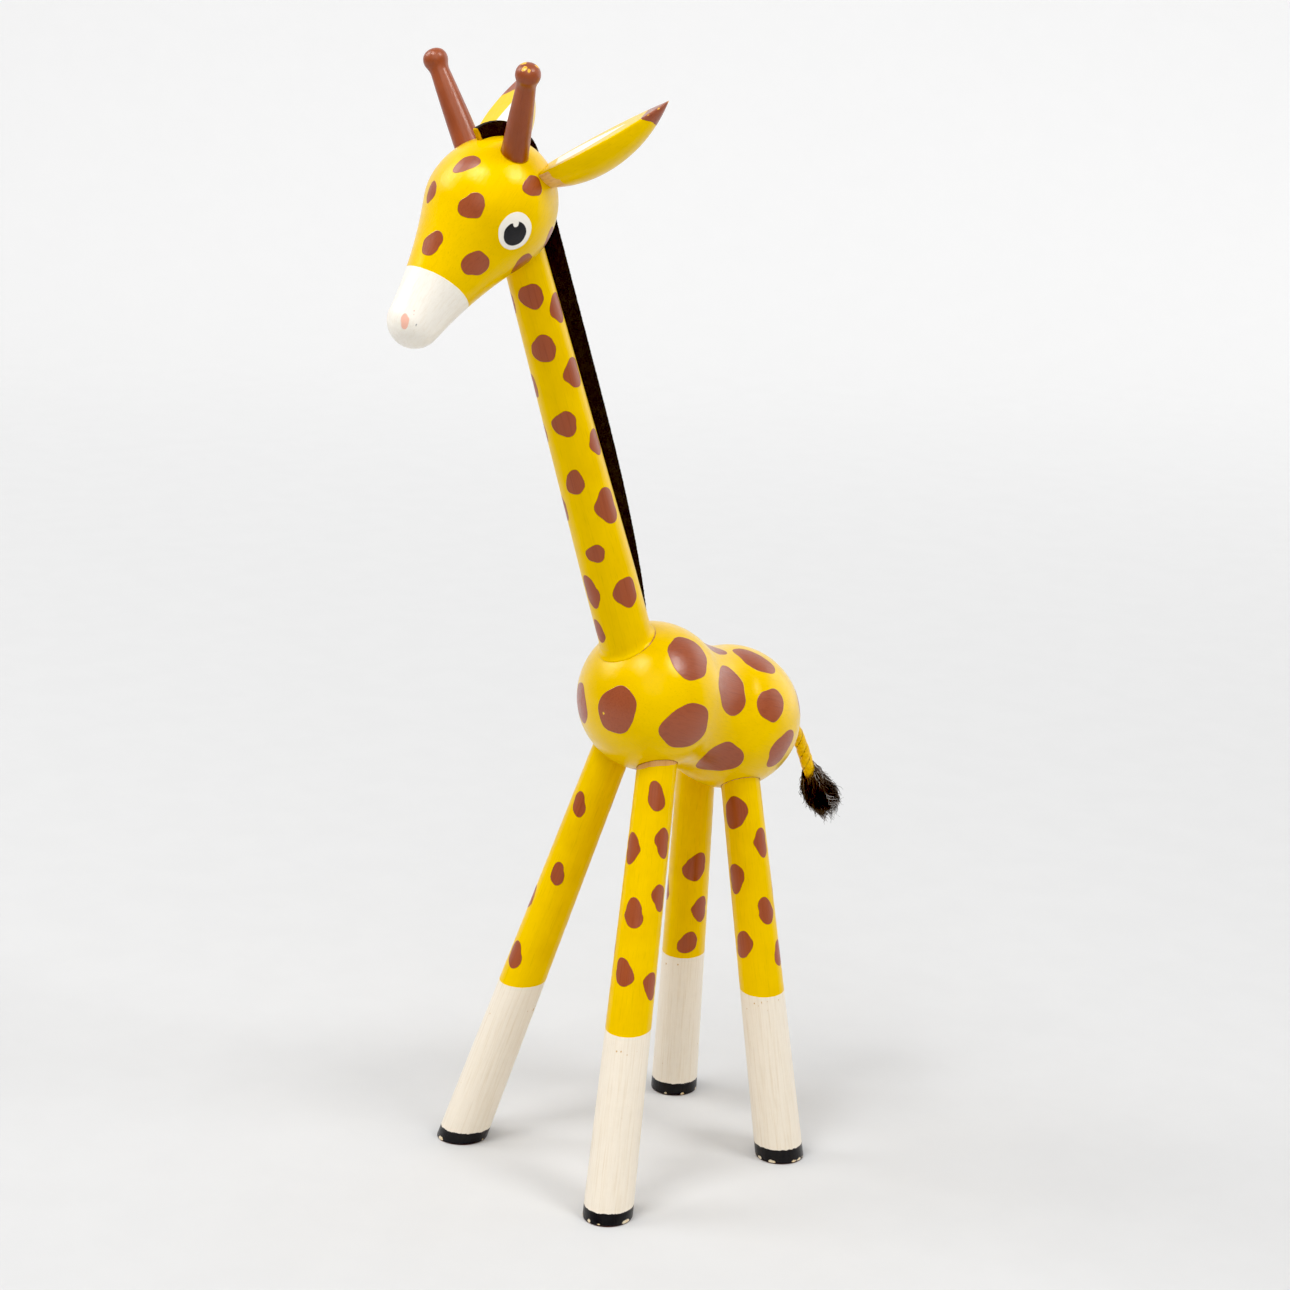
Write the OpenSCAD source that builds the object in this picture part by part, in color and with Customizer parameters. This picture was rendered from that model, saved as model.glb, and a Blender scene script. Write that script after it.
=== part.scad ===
/* [Torso] */
// Radius of the front lobe of the torso
front_r = 24.3; // [21:0.1:27]
// Length of the front lobe ahead of its centre
front_len = 23.6; // [20:0.1:27]
// Radius of the rear lobe
rear_r = 23.8; // [21:0.1:27]
// Distance between the centres of the two lobes
lobe_gap = 34.4; // [30:0.1:42]
// Radius of the hollow curve round the waist
waist_curve = 25; // [16:0.5:120]
// How far the torso falls towards the rear, in degrees
torso_slope = 20; // [10:1:30]
// Height of the front lobe's centre above the floor
lobe_z = 156.8; // [140:0.1:175]

/* [Legs] */
// Radius of a leg at the floor
foot_r = 8; // [7:0.1:9]
// Radius of a leg beside the lobe's centre
leg_top_r = 6.2; // [5:0.1:6.8]
// How far short of the lobe's centre a leg's end stops
leg_end_gap = 13; // [11:0.5:15]

/* [Neck] */
// Forward lean of the neck, in degrees
neck_lean = 18.7; // [10:0.1:25]
// Radius of the neck at the torso
neck_base_r = 8.7; // [8:0.1:10]
// Radius of the neck's top end, inside the head
neck_top_r = 6.5; // [6:0.1:7.8]

/* [Head] */
// Radius of the skull
skull_r = 19.7; // [18:0.1:22]
// Length of the skull behind its widest place
skull_len = 22.2; // [19:0.1:25]
// Radius of the nose
nose_r = 8.2; // [7:0.1:10]
// Distance from the skull's widest place to the nose's centre
muzzle_len = 41; // [36:0.5:48]
// Radius of the hollow curve along the muzzle
muzzle_curve = 130; // [90:10:400]
// How far the muzzle points below the horizon, in degrees
head_pitch = 50.8; // [35:0.1:60]

/* [Horns] */
// Radius of a horn at its foot
horn_foot_r = 4.2; // [3.5:0.1:5]
// Radius of a horn just under its knob
horn_waist_r = 2.9; // [2.4:0.05:3.4]
// Radius of the knob
knob_r = 3.75; // [3.5:0.05:5]

/* [Ears] */
// Length of an ear from the skull to its tip
ear_len = 40.5; // [34:0.5:44]
// Half width of an ear at its widest
ear_r = 9.7; // [7:0.1:11]
// Distance from the skull to the widest place
ear_belly = 14; // [9:0.5:18]

/* [Mane] */
// Thickness of the felt strip
felt = 2; // [1.5:0.1:3]
// How deep the strip sits in its saw cut
kerf = 2.5; // [2:0.5:4]

/* [Tail] */
// Diameter of the tail's cord
tail_d = 4.4; // [3.5:0.1:5]
// Radius of the tuft at its widest
tuft_r = 6.2; // [5:0.1:8]
// Length of the tuft
tuft_len = 21; // [16:1:26]

/* [Hidden] */
$fn = 96;

yellow = [0.92, 0.75, 0.0];
brown = [0.62, 0.33, 0.2];
black = [0.14, 0.11, 0.09];

// Gap round a glued piece in its hole or saw cut, and the room left below its end
glue = 0.05;
hole_floor = 1;

// The giraffe looks along -Y, its left side is +X, and its feet stand on z = 0
front_lobe = [0, 21.4, lobe_z];
rear_lobe = front_lobe + lobe_gap * [0, cos(torso_slope), -sin(torso_slope)];
skull = [0, -43.9, 316.5];

// Each leg's axis, from a point beside the lobe's centre to the middle of its foot
leg_front_left_axis = [[7.4, 21.3, 157.7], [38.2, -19.1, 0]];
leg_front_right_axis = [[-7.1, 20.6, 157.8], [-38.6, -23.9, 0]];
leg_rear_left_axis = [[8.5, 49.7, 144.4], [32.5, 56.2, 0]];
leg_rear_right_axis = [[-9, 49, 144.5], [-32.1, 61.1, 0]];
leg_axes = [
    leg_front_left_axis, leg_front_right_axis, leg_rear_left_axis, leg_rear_right_axis
];

// The neck's axis starts inside the front lobe; heights along it are from there
neck_foot = [0, 17.5, 157.5];
neck_bottom = 10;
neck_taper = 34;
neck_top = 160;

// Each horn's axis, from its foot on the skull to the middle of its knob
horn_left_axis = [[11, -42.8, 333.4], [24, -47.5, 357.2]];
horn_right_axis = [[-11.6, -43.8, 333.4], [-24, -47.8, 358.2]];
horn_peg = 5;
knob_fillet = 6;

// Each ear's root and tip, on the axis in its flat face, and the way that face looks
ear_left_place = [[13.7, -32.8, 329.6], [37.4, -6.8, 350], [-0.26, -0.43, 0.87]];
ear_right_place = [[-16, -34, 331.2], [-37.3, -6.9, 352.3], [0, -0.65, 0.76]];
ear_sunk = 6;
ear_stem = 8;
ear_stem_r = 2.5;
ear_tip_curve = ((ear_len - ear_belly) ^ 2 + ear_r ^ 2) / (2 * ear_r);
ear_root_curve = 35;

// The mane's outer edge, in y and z: an arc over the crown, then down the neck
crest_centre = [-41.5, 326.5];
crest_r = 15.7;
crest_start = 122;
mane_nape = [-2, 258.7];
mane_lead = [13.8, 212];
mane_end = [18.2, 185.3];
crown_floor_r = 18;

// The tail's route, from the end in its hole to the end inside the tuft
tail_exit = [0, 76.9, 139.5];
tail_route = [
    [0, 70.1, 141.1], tail_exit, [0, 79.5, 138.6], [0, 81.8, 136.9], [0, 83.6, 134.6],
    [0, 85.2, 131.4], [0, 87.1, 127.4], [0, 88.9, 122.9], [0, 91, 118.3], [0, 94.3, 111.2]
];
tuft_top = [0, 90.1, 120.3];

function unit(v) = v / norm(v);

function arc(centre, r, from, to, steps) = [
    for (i = [0:steps])
        let (a = from + (to - from) * i / steps)
        centre + r * [cos(a), sin(a)]
];

function bezier(a, b, c, steps) = [
    for (i = [0:steps])
        let (t = i / steps)
        a * (1 - t) ^ 2 + b * 2 * t * (1 - t) + c * t ^ 2
];

// Turns the z axis onto direction v
module along(v) {
    rotate([0, acos(v[2] / norm(v)), atan2(v[1], v[0])]) children();
}

// Half outline of two balls on the y axis, joined by a hollow arc tangent to both.
// The first ball reaches back_len below the origin.
module ball_pair(r1, r2, gap, curve, back_len) {
    a = (gap ^ 2 + (r1 - r2) * (r1 + r2 + 2 * curve)) / (2 * gap);
    b = sqrt((r1 + curve) ^ 2 - a ^ 2);
    polygon([for (t = [0:5:90]) [r1 * sin(t), -back_len * cos(t)], [0, 0]]);
    intersection() {
        square([2 * r1, gap + r2]);
        union() {
            circle(r1);
            translate([0, gap]) circle(r2);
            difference() {
                polygon([[0, 0], [b, a], [0, gap]]);
                translate([b, a]) circle(curve, $fn = 360);
            }
        }
    }
}

// A leg's shaft and peg end along its axis, larger by gap when it is a hole
module leg_solid(axis, gap = 0) {
    up = axis[0] - axis[1];
    len = norm(up);
    taper = (foot_r - leg_top_r) / len;
    low = -2 * foot_r;
    high = len - leg_end_gap + (gap > 0 ? hole_floor : 0);
    translate(axis[1]) along(up) translate([0, 0, low])
    cylinder(h = high - low, r1 = foot_r - taper * low + gap, r2 = foot_r - taper * high + gap);
}

// The sole is cut level with the floor
module leg(axis) {
    color(yellow)
    intersection() {
        leg_solid(axis);
        translate([axis[1][0] - 60, axis[1][1] - 60, 0]) cube([120, 120, lobe_z]);
    }
}

module neck_solid(gap = 0) {
    floor = gap > 0 ? hole_floor : 0;
    translate(neck_foot) rotate([neck_lean, 0, 0]) {
        translate([0, 0, neck_bottom - floor])
            cylinder(h = neck_taper - neck_bottom + floor, r = neck_base_r + gap);
        translate([0, 0, neck_taper])
            cylinder(h = neck_top - neck_taper, r1 = neck_base_r + gap, r2 = neck_top_r + gap);
        translate([0, 0, neck_top - 1]) cylinder(h = 1 + floor, r = neck_top_r + gap);
    }
}

module head_solid(gap = 0) {
    translate(skull) rotate([90 + head_pitch, 0, 0]) rotate_extrude()
    ball_pair(skull_r + gap, nose_r + gap, muzzle_len, muzzle_curve - gap, skull_len + gap);
}

// Half outline of a horn with its peg, its knob's centre at height len
module horn_outline(len) {
    drop = sqrt((knob_r + knob_fillet) ^ 2 - (horn_waist_r + knob_fillet) ^ 2);
    fillet = [horn_waist_r + knob_fillet, len - drop];
    polygon([
        [0, -horn_peg], [horn_foot_r, -horn_peg], [horn_foot_r, 0],
        [horn_waist_r, fillet[1]], [0, fillet[1]]
    ]);
    difference() {
        polygon([[0, fillet[1]], fillet, [0, len]]);
        translate(fillet) circle(knob_fillet, $fn = 360);
    }
    intersection() {
        translate([0, len]) circle(knob_r);
        translate([0, len - knob_r]) square(2 * knob_r);
    }
}

module horn(axis) {
    up = axis[1] - axis[0];
    color(brown)
    translate(axis[0]) along(up) rotate_extrude() horn_outline(norm(up));
}

module horn_hole(axis) {
    translate(axis[0]) along(axis[1] - axis[0]) translate([0, 0, -horn_peg - hole_floor])
    cylinder(h = 2 * horn_peg + hole_floor, r = horn_foot_r + glue);
}

// Places a child with z along the ear and -y out of its flat face
module at_ear(place) {
    z = unit(place[1] - place[0]);
    y = -unit(place[2] - (place[2] * z) * z);
    x = cross(y, z);
    multmatrix([
        [x[0], y[0], z[0], place[0][0]],
        [x[1], y[1], z[1], place[0][1]],
        [x[2], y[2], z[2], place[0][2]],
        [0, 0, 0, 1]
    ]) children();
}

// Half outline of the spindle that an ear is half of, an arc each side of its belly
module ear_outline() {
    intersection() {
        translate([ear_r - ear_tip_curve, ear_belly]) circle(ear_tip_curve, $fn = 360);
        translate([0, ear_belly]) square([ear_r, ear_len]);
    }
    intersection() {
        translate([ear_r - ear_root_curve, ear_belly]) circle(ear_root_curve, $fn = 360);
        translate([0, -ear_sunk]) square([ear_r, ear_belly + ear_sunk]);
    }
}

module ear_stem_solid(gap = 0) {
    bottom = ear_stem + (gap > 0 ? hole_floor : 0);
    translate([0, 1.2 * ear_stem_r, -bottom]) cylinder(h = bottom + 2, r = ear_stem_r + gap);
}

// The root end is coped to sit on the skull
module ear(place) {
    color(yellow) {
        difference() {
            at_ear(place) difference() {
                rotate_extrude() ear_outline();
                translate([-2 * ear_r, -2 * ear_r, -ear_sunk - 1])
                    cube([4 * ear_r, 2 * ear_r, ear_len + ear_sunk + 2]);
            }
            head_solid(glue);
        }
        at_ear(place) ear_stem_solid();
    }
}

// The strip's outline in y and z, sunk deeper by gap when it is a saw cut
module mane_outline(gap = 0) {
    floor_y = neck_base_r / cos(neck_lean) - kerf - gap;
    slant = [-tan(neck_lean), 1];
    neck_line = [neck_foot[1] + floor_y, neck_foot[2]];
    low = neck_line + slant * (mane_end[1] - neck_line[1] - gap);
    shoulder = [skull[1], skull[2]] + (crown_floor_r - gap) * [cos(10), -sin(10)];
    high = [shoulder[0], 300];
    polygon(concat(
        arc(crest_centre, crest_r, crest_start, neck_lean, 20),
        bezier(mane_nape, mane_lead, mane_end, 12),
        [low, high],
        arc([skull[1], skull[2]], crown_floor_r - gap, -10, 100, 20)
    ));
}

module mane_sheet(gap = 0) {
    thick = felt + 2 * gap;
    translate([-thick / 2, 0, 0]) rotate([90, 0, 90]) linear_extrude(thick) mane_outline(gap);
}

// Along the tail's first stretch, from below its end to clear of the torso
module tail_hole() {
    out = tail_exit - tail_route[0];
    translate(tail_route[0] - hole_floor * unit(out)) along(out)
    cylinder(h = 3 * norm(out), d = tail_d + 2 * glue);
}

// Points of a ring of n round p, across direction t in the plane x = 0
function ring(p, t, r, n) = [
    for (k = [0:n - 1])
        p + r * cos(360 * k / n) * [1, 0, 0] + r * sin(360 * k / n) * cross(t, [1, 0, 0])
];

function tangent(route, i) = unit(route[min(i + 1, len(route) - 1)] - route[max(i - 1, 0)]);

// A round tube along a route, as one closed surface
module tube(route, d, n) {
    last = len(route) - 1;
    points = [for (i = [0:last]) each ring(route[i], tangent(route, i), d / 2, n)];
    sides = [
        for (i = [0:last - 1], k = [0:n - 1])
            [i * n + k, i * n + (k + 1) % n, (i + 1) * n + (k + 1) % n, (i + 1) * n + k]
    ];
    polyhedron(points, concat(
        [[for (k = [0:n - 1]) n - 1 - k]],
        sides,
        [[for (k = [0:n - 1]) last * n + k]]
    ));
}

module torso() {
    color(yellow)
    difference() {
        translate(front_lobe) along(rear_lobe - front_lobe)
        rotate_extrude() ball_pair(front_r, rear_r, lobe_gap, waist_curve, front_len);
        for (axis = leg_axes) leg_solid(axis, glue);
        neck_solid(glue);
        tail_hole();
    }
}

module neck() {
    color(yellow)
    difference() {
        neck_solid();
        mane_sheet(glue);
    }
}

module head() {
    color(yellow)
    difference() {
        head_solid();
        neck_solid(glue);
        mane_sheet(glue);
        horn_hole(horn_left_axis);
        horn_hole(horn_right_axis);
        for (place = [ear_left_place, ear_right_place]) at_ear(place) ear_stem_solid(glue);
    }
}

module mane() {
    color(black) mane_sheet();
}

module tail_cord() {
    color(yellow) tube(tail_route, tail_d, 12);
}

// A drop shape with a hole up its middle for the cord's end
module tail_tuft() {
    tail_end = tail_route[len(tail_route) - 1];
    neck_r = tail_d / 2 + 0.8;
    tuft_belly = 0.6 * tuft_len;
    color(black)
    translate(tuft_top) along(tail_end - tuft_top)
    difference() {
        rotate_extrude()
        polygon([
            [0, 0],
            for (t = [0:0.1:1]) [neck_r + (tuft_r - neck_r) * sin(90 * t), tuft_belly * t],
            for (t = [0.1:0.1:1])
                [tuft_r * cos(90 * t), tuft_belly + (tuft_len - tuft_belly) * sin(90 * t)]
        ]);
        translate([0, 0, -1])
            cylinder(h = 1 + norm(tail_end - tuft_top) + hole_floor, d = tail_d + 2 * glue);
    }
}

torso();
neck();
head();
horn(horn_left_axis);  // horn_left
horn(horn_right_axis);  // horn_right
ear(ear_left_place);  // ear_left
ear(ear_right_place);  // ear_right
leg(leg_front_left_axis);  // leg_front_left
leg(leg_front_right_axis);  // leg_front_right
leg(leg_rear_left_axis);  // leg_rear_left
leg(leg_rear_right_axis);  // leg_rear_right
mane();
tail_cord();
tail_tuft();
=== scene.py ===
import random
from math import acos, asin, atan2, cos, pi, radians, sin, sqrt, tan

import bmesh
import bpy
import numpy as np
from mathutils import Matrix, Vector, noise
from numpy.linalg import norm


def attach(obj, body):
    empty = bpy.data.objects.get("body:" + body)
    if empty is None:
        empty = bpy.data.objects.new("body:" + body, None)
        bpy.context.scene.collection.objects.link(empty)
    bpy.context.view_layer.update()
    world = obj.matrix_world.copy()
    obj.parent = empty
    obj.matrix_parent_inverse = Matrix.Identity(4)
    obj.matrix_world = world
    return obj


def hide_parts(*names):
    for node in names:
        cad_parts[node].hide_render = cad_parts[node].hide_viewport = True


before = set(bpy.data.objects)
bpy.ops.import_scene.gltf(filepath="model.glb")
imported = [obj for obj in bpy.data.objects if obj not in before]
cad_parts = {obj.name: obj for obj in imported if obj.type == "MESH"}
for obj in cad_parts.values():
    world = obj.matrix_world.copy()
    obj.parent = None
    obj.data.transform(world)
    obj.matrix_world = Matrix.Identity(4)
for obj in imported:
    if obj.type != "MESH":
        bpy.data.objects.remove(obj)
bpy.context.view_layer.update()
MM = 0.001
UP = np.array([0.0, 0.0, 1.0])


# ---- small helpers

def unit(v):
    v = np.asarray(v, float)
    return v / norm(v)


def srgb(r, g, b):
    """A linear colour from 0-255 display values."""
    def one(c):
        c /= 255.0
        return c / 12.92 if c <= 0.04045 else ((c + 0.055) / 1.055) ** 2.4
    return (one(r), one(g), one(b), 1.0)


class Place:
    """A turned piece's own frame in mm: origin, axis, the way angle 0 looks and the way 90 looks."""

    def __init__(self, origin, axis, front, side=None):
        self.origin = np.asarray(origin, float)
        self.axis = unit(axis)
        front = np.asarray(front, float)
        self.front = unit(front - (front @ self.axis) * self.axis)
        self.side = np.cross(self.axis, self.front)
        if side is not None and self.side @ np.asarray(side, float) < 0:
            self.side = -self.side

    def point(self, s, angle, r):
        s, angle, r = np.asarray(s, float), np.asarray(angle, float), np.asarray(r, float)
        out = np.cos(angle)[..., None] * self.front + np.sin(angle)[..., None] * self.side
        return self.origin + s[..., None] * self.axis + r[..., None] * out

    def local(self, p):
        """Along the axis, angle, radius."""
        q = p - self.origin
        s = q @ self.axis
        x, y = q @ self.front, q @ self.side
        return s, np.arctan2(y, x), np.hypot(x, y)

    def grain(self, p):
        q = p - self.origin
        return np.stack([q @ self.front, q @ self.side, q @ self.axis], -1)


def build(name, verts, faces, smooth=True):
    """A mesh object from points in mm."""
    mesh = bpy.data.meshes.new(name)
    mesh.from_pydata((np.asarray(verts) * MM).tolist(), [], [list(map(int, f)) for f in faces])
    mesh.validate()
    mesh.update()
    if smooth:
        mesh.shade_smooth()
    obj = bpy.data.objects.new(name, mesh)
    bpy.context.scene.collection.objects.link(obj)
    return obj


def read(items, attribute, kind=np.float32, width=1):
    """One attribute of every vertex, loop or face as an array."""
    values = np.zeros(len(items) * width, kind)
    items.foreach_get(attribute, values)
    return values.reshape(-1, width) if width > 1 else values


def points_of(obj):
    return read(obj.data.vertices, "co", width=3).astype(float) / MM


def set_points(obj, pts):
    obj.data.vertices.foreach_set("co", (pts * MM).astype(np.float32).ravel())
    obj.data.update()


def put(obj, name, values):
    """Stores a value or a vector on each point, for the material to read."""
    values = np.asarray(values, np.float32)
    kind, field = ("FLOAT_VECTOR", "vector") if values.ndim == 2 else ("FLOAT", "value")
    obj.data.attributes.new(name, kind, "POINT").data.foreach_set(field, values.ravel())


def lumps(p):
    return np.array([noise.noise(Vector(q)) for q in p])


def round_angles(n):
    return np.linspace(0, 2 * pi, n, endpoint=False)


def distance_along(line):
    return np.r_[0, np.cumsum(norm(np.diff(line, axis=0), axis=1))]


def rings_to_mesh(rings, closed=True, start=None, end=None):
    """Points and faces of a stack of equal rings. start and end are pole points, or None."""
    rings = np.asarray(rings, float)
    n, k = rings.shape[:2]
    verts = [rings.reshape(-1, 3)]
    idx = np.arange(n * k).reshape(n, k)
    a, b = idx[:-1], idx[1:]
    if closed:
        quads = [a, np.roll(a, -1, 1), np.roll(b, -1, 1), b]
    else:
        quads = [a[:, :-1], a[:, 1:], b[:, 1:], b[:, :-1]]
    faces = np.stack(quads, -1).reshape(-1, 4).tolist()
    count = n * k
    if start is not None:
        verts.append(np.asarray(start, float)[None])
        faces += [[count, int(idx[0, (j + 1) % k]), int(idx[0, j])] for j in range(k)]
        count += 1
    if end is not None:
        verts.append(np.asarray(end, float)[None])
        faces += [[count, int(idx[-1, j]), int(idx[-1, (j + 1) % k])] for j in range(k)]
    return np.concatenate(verts), faces


def outward(verts, faces):
    """The same faces, turned so that the closed mesh faces out."""
    v = np.asarray(verts)
    total = 0.0
    for f in faces:
        p = v[f]
        for i in range(1, len(f) - 1):
            total += np.dot(p[0], np.cross(p[i], p[i + 1]))
    return faces if total > 0 else [f[::-1] for f in faces]


def lathe(name, place, outline, around):
    """A turned piece. outline is rows of (along, radius) in mm, with a pole at each end."""
    outline = np.asarray(outline, float)
    angle = round_angles(around)
    body = outline[1:-1]
    rings = place.point(np.repeat(body[:, :1], around, 1), np.tile(angle, (len(body), 1)),
                        np.repeat(body[:, 1:], around, 1))
    verts, faces = rings_to_mesh(rings, True, place.origin + outline[0, 0] * place.axis,
                                 place.origin + outline[-1, 0] * place.axis)
    return build(name, verts, outward(verts, faces))


def spread(outline, step):
    """The outline's points again, evenly spaced about step mm apart."""
    outline = np.asarray(outline, float)
    d = distance_along(outline)
    t = np.linspace(0, d[-1], max(2, int(round(d[-1] / step))) + 1)
    return np.stack([np.interp(t, d, outline[:, 0]), np.interp(t, d, outline[:, 1])], -1)


def peg_cutter(a, b, r1, r2, sides=96):
    """A tapered peg between two points, used only to cut holes."""
    h = norm(b - a)
    return lathe("cutter", Place(a, b - a, [0.3, 0.9, 0.2]), [(0, 0), (0, r1), (h, r2), (h, 0)], sides)


def apply_modifiers(obj):
    graph = bpy.context.evaluated_depsgraph_get()
    graph.update()
    mesh = bpy.data.meshes.new_from_object(obj.evaluated_get(graph))
    plain = obj.data
    obj.modifiers.clear()
    obj.data = mesh
    bpy.data.meshes.remove(plain)


def cut(obj, cutters):
    """Takes the cutters out of obj and removes them."""
    for c in cutters:
        m = obj.modifiers.new("cut", "BOOLEAN")
        m.operation = "DIFFERENCE"
        m.solver = "EXACT"
        m.object = c
    apply_modifiers(obj)
    for c in cutters:
        data = c.data
        bpy.data.objects.remove(c)
        bpy.data.meshes.remove(data)


def keep_smooth(obj, normal_at, close=0.9):
    """Gives faces that lie along the turned surface its own normals, so cuts leave no dents in the gloss."""
    mesh = obj.data
    mesh.shade_smooth()
    mesh.update()
    loops = read(mesh.loops, "vertex_index", np.int32)
    turned = normal_at(points_of(obj))[loops]
    own = read(mesh.vertices, "normal", width=3)[loops]
    flat = np.repeat(read(mesh.polygons, "normal", width=3), read(mesh.polygons, "loop_total", np.int32), 0)
    on = (turned * flat).sum(1) > close
    gentle = (own * flat).sum(1) > 0.96
    out = np.where(on[:, None], turned, np.where(gentle[:, None], own, flat))
    mesh.normals_split_custom_set(out.astype(float).tolist())


# ---- the shapes' own numbers, in mm

def ball_pair(r1, r2, gap, curve, back):
    """Radius along the axis of two balls joined by a hollow arc, with the first one's back end stretched."""
    a = (gap ** 2 + (r1 - r2) * (r1 + r2 + 2 * curve)) / (2 * gap)
    b = sqrt((r1 + curve) ** 2 - a * a)
    join1 = a * r1 / (r1 + curve)
    join2 = gap + (a - gap) * r2 / (r2 + curve)

    def radius(s):
        s = np.asarray(s, float)
        back_end = r1 * np.sqrt(np.clip(1 - (s / back) ** 2, 0, None))
        ball1 = np.sqrt(np.clip(r1 * r1 - s * s, 0, None))
        hollow = b - np.sqrt(np.clip(curve ** 2 - (s - a) ** 2, 0, None))
        ball2 = np.sqrt(np.clip(r2 * r2 - (s - gap) ** 2, 0, None))
        return np.where(s < 0, back_end, np.where(s < join1, ball1, np.where(s < join2, hollow, ball2)))

    t = np.linspace(-pi / 2, pi / 2, 400)
    s1 = back * np.sin(t[t < 0])
    s2 = np.linspace(0, join2, 300)
    u = np.linspace(acos(np.clip((join2 - gap) / r2, -1, 1)), 0, 200)[1:]
    s3 = gap + r2 * np.cos(u)
    line = np.concatenate([np.stack([s1, r1 * np.cos(t[t < 0])], -1),
                           np.stack([s2, radius(s2)], -1),
                           np.stack([s3, r2 * np.sin(u)], -1)])
    line[0, 1] = 0
    line[-1, 1] = 0
    return radius, line


TORSO_SLOPE = radians(20)
torso_place = Place([0, 21.4, 156.8], [0, cos(TORSO_SLOPE), -sin(TORSO_SLOPE)],
                    [0, sin(TORSO_SLOPE), cos(TORSO_SLOPE)], [1, 0, 0])
torso_radius, torso_line = ball_pair(24.3, 23.8, 34.4, 25, 23.6)
TORSO_ENDS = (-23.6, 58.2)

HEAD_PITCH = radians(50.8)
head_place = Place([0, -43.9, 316.5], [0, -cos(HEAD_PITCH), -sin(HEAD_PITCH)],
                   [0, -sin(HEAD_PITCH), cos(HEAD_PITCH)], [1, 0, 0])
head_radius, head_line = ball_pair(19.7, 8.2, 41, 130, 22.2)
HEAD_ENDS = (-22.2, 49.2)

NECK_LEAN = radians(18.7)
neck_place = Place([0, 17.5, 157.5], [0, -sin(NECK_LEAN), cos(NECK_LEAN)],
                   [0, -cos(NECK_LEAN), -sin(NECK_LEAN)], [1, 0, 0])
NECK_BOTTOM, NECK_TAPER, NECK_TOP = 10, 34, 160
NECK_R, NECK_TOP_R = 8.7, 6.5


def neck_radius(s):
    up = np.clip((np.asarray(s, float) - NECK_TAPER) / (NECK_TOP - NECK_TAPER), 0, 1)
    return NECK_R - (NECK_R - NECK_TOP_R) * up


FOOT_R, LEG_TOP_R, LEG_END_GAP = 8.0, 6.2, 13.0
HORN_FOOT_R, HORN_WAIST_R, KNOB_R, KNOB_FILLET, HORN_PEG = 4.2, 2.9, 3.75, 6.0, 5.0
EAR_R, EAR_BELLY, EAR_ROOT_CURVE, EAR_SUNK, EAR_STEM_R = 9.7, 14.0, 35.0, 6.0, 2.5
FELT, KERF = 2.0, 2.5
SKULL = np.array([-43.9, 316.5])
CREST, CREST_R, CREST_START = np.array([-41.5, 326.5]), 15.7, 122
CROWN_FLOOR_R = 18
# outside a painted outline by more than any brush edge, in mm
FAR = 9.0

# each leg from beside the lobe's centre to the foot, each horn from its foot to its knob's centre,
# and each ear's root, tip and the way its flat face looks
LEGS = {
    "leg_front_left": ([7.4, 21.3, 157.7], [38.2, -19.1, 0]),
    "leg_front_right": ([-7.1, 20.6, 157.8], [-38.6, -23.9, 0]),
    "leg_rear_left": ([8.5, 49.7, 144.4], [32.5, 56.2, 0]),
    "leg_rear_right": ([-9, 49, 144.5], [-32.1, 61.1, 0]),
}
HORNS = {
    "horn_left": ([11, -42.8, 333.4], [24, -47.5, 357.2]),
    "horn_right": ([-11.6, -43.8, 333.4], [-24, -47.8, 358.2]),
}
EARS = {
    "ear_left": ([13.7, -32.8, 329.6], [37.4, -6.8, 350], [-0.26, -0.43, 0.87]),
    "ear_right": ([-16, -34, 331.2], [-37.3, -6.9, 352.3], [0, -0.65, 0.76]),
}
TAIL = [[0, 70.1, 141.1], [0, 76.9, 139.5], [0, 79.5, 138.6], [0, 81.8, 136.9], [0, 83.6, 134.6],
        [0, 85.2, 131.4], [0, 87.1, 127.4], [0, 88.9, 122.9], [0, 91, 118.3], [0, 94.3, 111.2]]
TAIL_D = 4.4
TUFT_TOP, TUFT_END = np.array([0, 90.1, 120.3]), np.array([0, 94.3, 111.2])


def turned_distance(place, radius, ends):
    """A function giving points' rough distance in mm from a turned surface, positive outside."""
    low, high = ends

    def at(p):
        s, _, r = place.local(p)
        before, here, after = (radius(np.clip(s + d, low + 0.1, high - 0.1)) for d in (-0.5, 0, 0.5))
        return np.where((s > low) & (s < high), (r - here) / np.sqrt(1 + (after - before) ** 2), FAR)
    return at


torso_distance = turned_distance(torso_place, torso_radius, TORSO_ENDS)
head_distance = turned_distance(head_place, head_radius, HEAD_ENDS)


def turned_normal(place, radius, ends):
    """A function giving a turned surface's normals at points on it."""
    low, high = ends

    def at(p):
        s, angle, _ = place.local(p)
        s = np.clip(s, low + 0.01, high - 0.01)
        h = np.minimum(0.05, np.minimum(s - low, high - s) / 2)
        slope = (radius(s + h) - radius(s - h)) / (2 * h)
        out = np.cos(angle)[:, None] * place.front + np.sin(angle)[:, None] * place.side
        n = out - slope[:, None] * place.axis
        return n / norm(n, axis=1)[:, None]
    return at


# ---- painted outlines

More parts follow.
